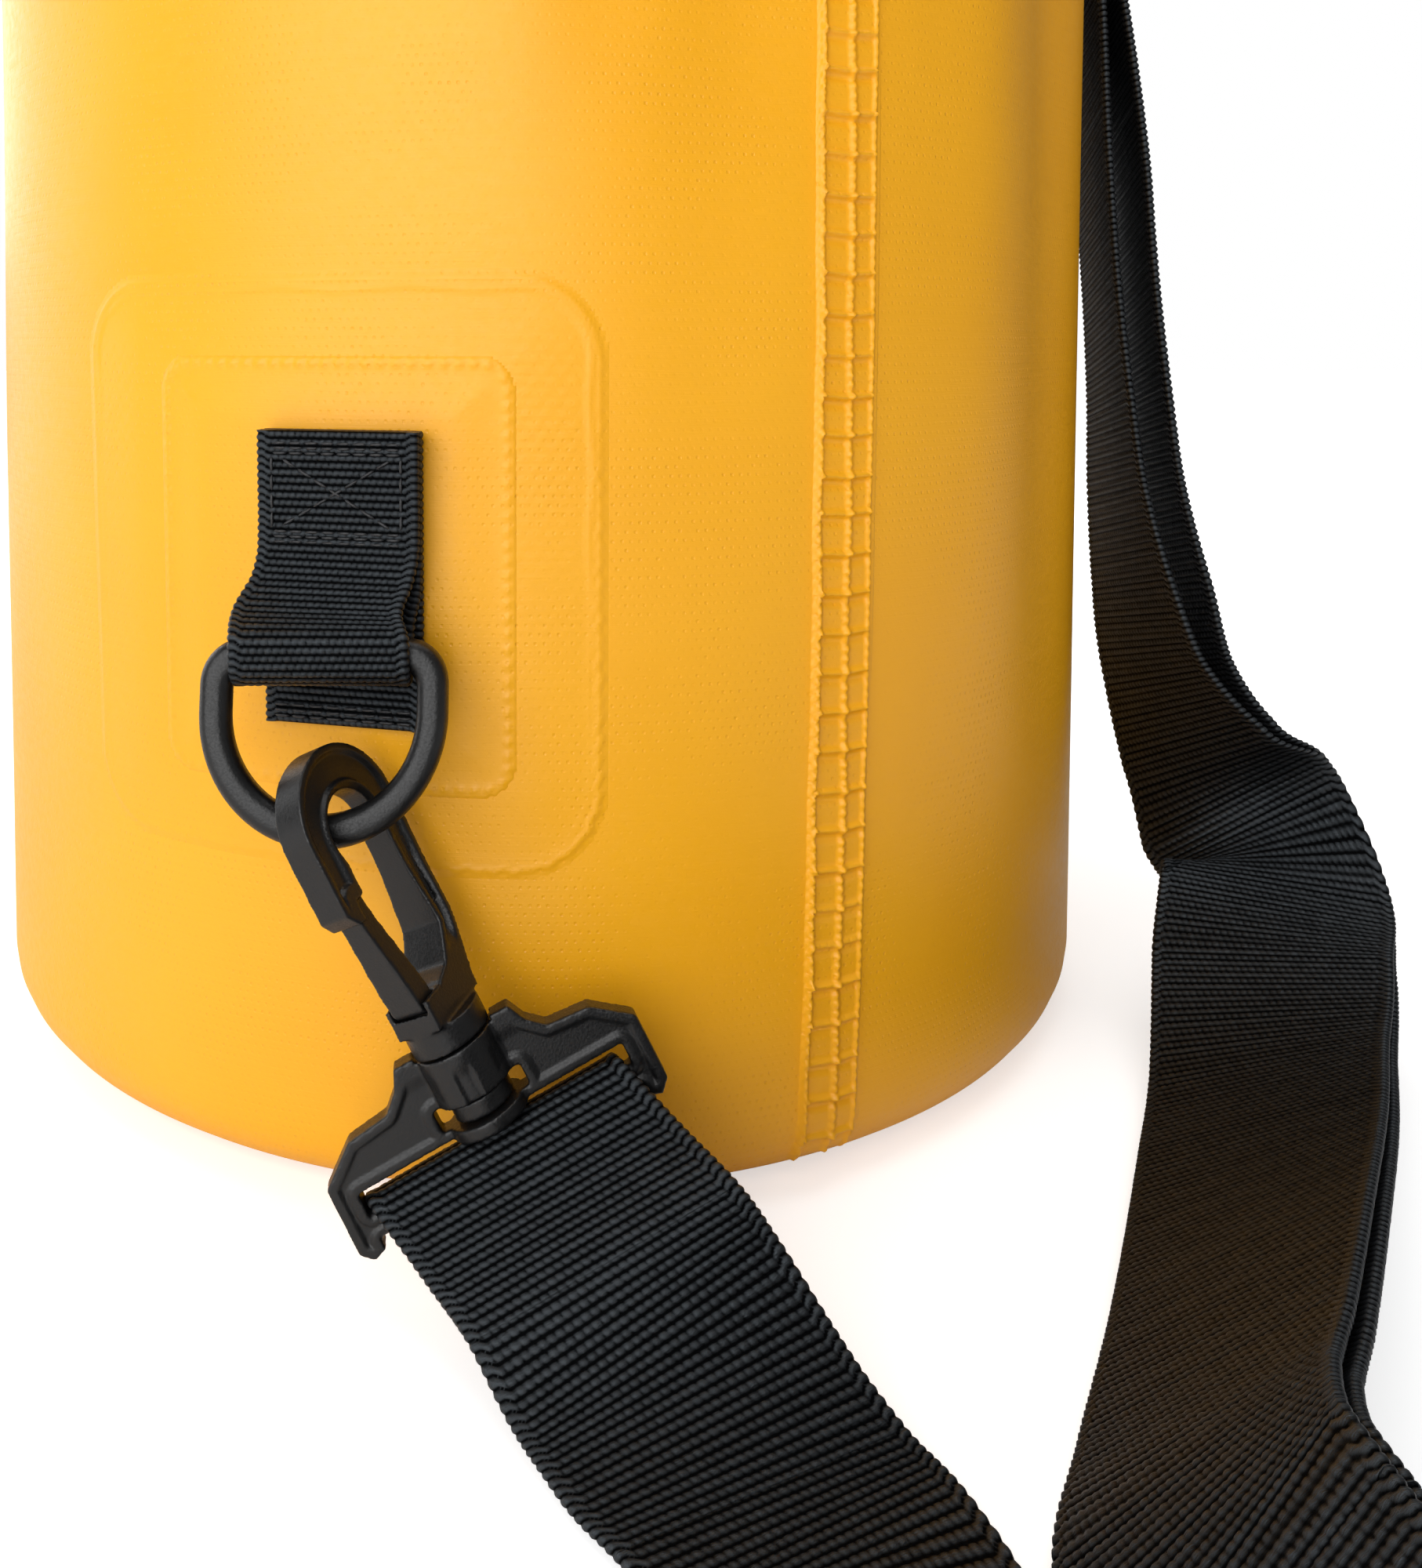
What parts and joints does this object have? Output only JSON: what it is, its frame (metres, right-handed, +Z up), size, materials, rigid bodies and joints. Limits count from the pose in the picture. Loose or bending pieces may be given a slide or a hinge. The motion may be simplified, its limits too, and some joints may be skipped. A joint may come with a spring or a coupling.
{
  "type": "roll-top dry bag with shoulder strap",
  "caption": "Round roll-top bag of coated fabric, its mouth rolled and buckled into a handle, with a wide shoulder strap on swivel snap hooks and D-rings.",
  "frame": {"origin": "centre of the flat base panel's underside, where the bag stands", "axes": "+Z up through the bag; +X to the side where the strap rises and the buckle is pulled apart; -Y to the front, where the lower D-ring hangs"},
  "size_m": [0.2582, 0.4097, 0.408],
  "materials": {
    "tarpaulin": "semi-gloss coated weave",
    "narrow_webbing": "woven",
    "strap_webbing": "ribbed woven",
    "thread": "twisted thread",
    "stiffener": "plain",
    "hard_plastic": "fine grain"
  },
  "bodies": {
    "bag": {"bag_wall": "tarpaulin", "base_panel": "tarpaulin", "side_seam": "tarpaulin", "outer_patch": "tarpaulin", "inner_patch": "tarpaulin", "loop_backing": "narrow_webbing", "ring_loop": "narrow_webbing", "loop_stitching": "thread", "mouth_roll": "tarpaulin", "mouth_stiffener": "stiffener", "closure_tab_left": "narrow_webbing", "closure_tab_right": "narrow_webbing", "upper_loop": "narrow_webbing", "buckle_female": "hard_plastic", "lower_strap_run": "strap_webbing", "strap_floor_run": "strap_webbing", "glide_strap_run": "strap_webbing", "glide_return_run": "strap_webbing", "strap_inner_layer": "strap_webbing", "strap_outer_layer": "strap_webbing", "upper_inner_run": "strap_webbing", "upper_outer_run": "strap_webbing"},
    "lower_ring": {"lower_ring": "hard_plastic"},
    "lower_hook": {"lower_hook": "hard_plastic"},
    "lower_gate": {"lower_gate": "hard_plastic"},
    "lower_yoke": {"lower_yoke": "hard_plastic", "lower_strap_end": "strap_webbing"},
    "upper_ring": {"upper_ring": "hard_plastic"},
    "upper_hook": {"upper_hook": "hard_plastic"},
    "upper_gate": {"upper_gate": "hard_plastic"},
    "upper_yoke": {"upper_yoke": "hard_plastic", "upper_strap_loop": "strap_webbing"},
    "tri_glide": {"tri_glide": "hard_plastic", "glide_strap_end": "strap_webbing"},
    "buckle_male": {"buckle_male": "hard_plastic"},
    "latch_front": {"latch_front": "hard_plastic"},
    "latch_back": {"latch_back": "hard_plastic"}
  },
  "joints": [
    {"name": "lower_ring_swing", "type": "hinge", "parent": "bag", "child": "lower_ring", "pos_m": [-0.029, -0.1148, 0.0838], "axis": [-1, 0, 0], "range_deg": [0, 28], "deforming": ["lower_strap_run"]},
    {"name": "lower_hook_swing", "type": "hinge", "parent": "lower_ring", "child": "lower_hook", "pos_m": [-0.0255, -0.11946, 0.06189], "axis": [-0.798, 0.4096, -0.4421], "range_deg": [-2, 18], "deforming": ["lower_strap_run"]},
    {"name": "lower_swivel", "type": "hinge", "parent": "lower_hook", "child": "lower_yoke", "pos_m": [-0.00986, -0.1215, 0.03177], "axis": [0.46, -0.06, -0.8859], "range_deg": [-12, 12], "deforming": ["lower_strap_run"]},
    {"name": "lower_gate_press", "type": "hinge", "parent": "lower_hook", "child": "lower_gate", "pos_m": [-0.01644, -0.12439, 0.04097], "axis": [-0.798, 0.4096, -0.4421], "range_deg": [0, 18], "stiffness_Nm_per_rad": 0.01, "springref_deg": -5.73},
    {"name": "upper_ring_swing", "type": "hinge", "parent": "bag", "child": "upper_ring", "pos_m": [0.107, 0, 0.316], "axis": [0, -1, 0], "range_deg": [0, 25], "deforming": ["upper_inner_run", "upper_outer_run"]},
    {"name": "upper_hook_swing", "type": "hinge", "parent": "upper_ring", "child": "upper_hook", "pos_m": [0.1148, 0, 0.29457], "axis": [0, -1, 0], "range_deg": [0, 20], "deforming": ["upper_inner_run", "upper_outer_run"]},
    {"name": "upper_swivel", "type": "hinge", "parent": "upper_hook", "child": "upper_yoke", "pos_m": [0.1148, 0, 0.25888], "axis": [0, 0, -1], "range_deg": [-10, 10], "deforming": ["upper_inner_run", "upper_outer_run"]},
    {"name": "upper_gate_press", "type": "hinge", "parent": "upper_hook", "child": "upper_gate", "pos_m": [0.1187, 0, 0.26987], "axis": [0, -1, 0], "range_deg": [0, 18], "stiffness_Nm_per_rad": 0.01, "springref_deg": -5.73},
    {"name": "tri_glide_slide", "type": "slide", "parent": "bag", "child": "tri_glide", "axis": [0, 1, 0], "range_m": [0, 0.03], "deforming": ["glide_strap_run", "glide_return_run"]},
    {"name": "buckle_slide", "type": "slide", "parent": "bag", "child": "buckle_male", "axis": [1, 0, 0], "range_m": [0, 0.026], "deforming": ["closure_tab_right", "latch_front", "latch_back"]},
    {"name": "latch_front_press", "type": "hinge", "parent": "buckle_male", "child": "latch_front", "pos_m": [0.0065, -0.0104, 0.4025], "axis": [0, 0, -1], "range_deg": [0, 10], "stiffness_Nm_per_rad": 0.02, "springref_deg": -2.86},
    {"name": "latch_back_press", "type": "hinge", "parent": "buckle_male", "child": "latch_back", "pos_m": [0.0065, 0.0104, 0.4025], "axis": [0, 0, 1], "range_deg": [0, 10], "stiffness_Nm_per_rad": 0.02, "springref_deg": -2.86}
  ],
  "couplings": [
    {"joint": "latch_back_press", "follows": "latch_front_press", "ratio": 1}
  ]
}
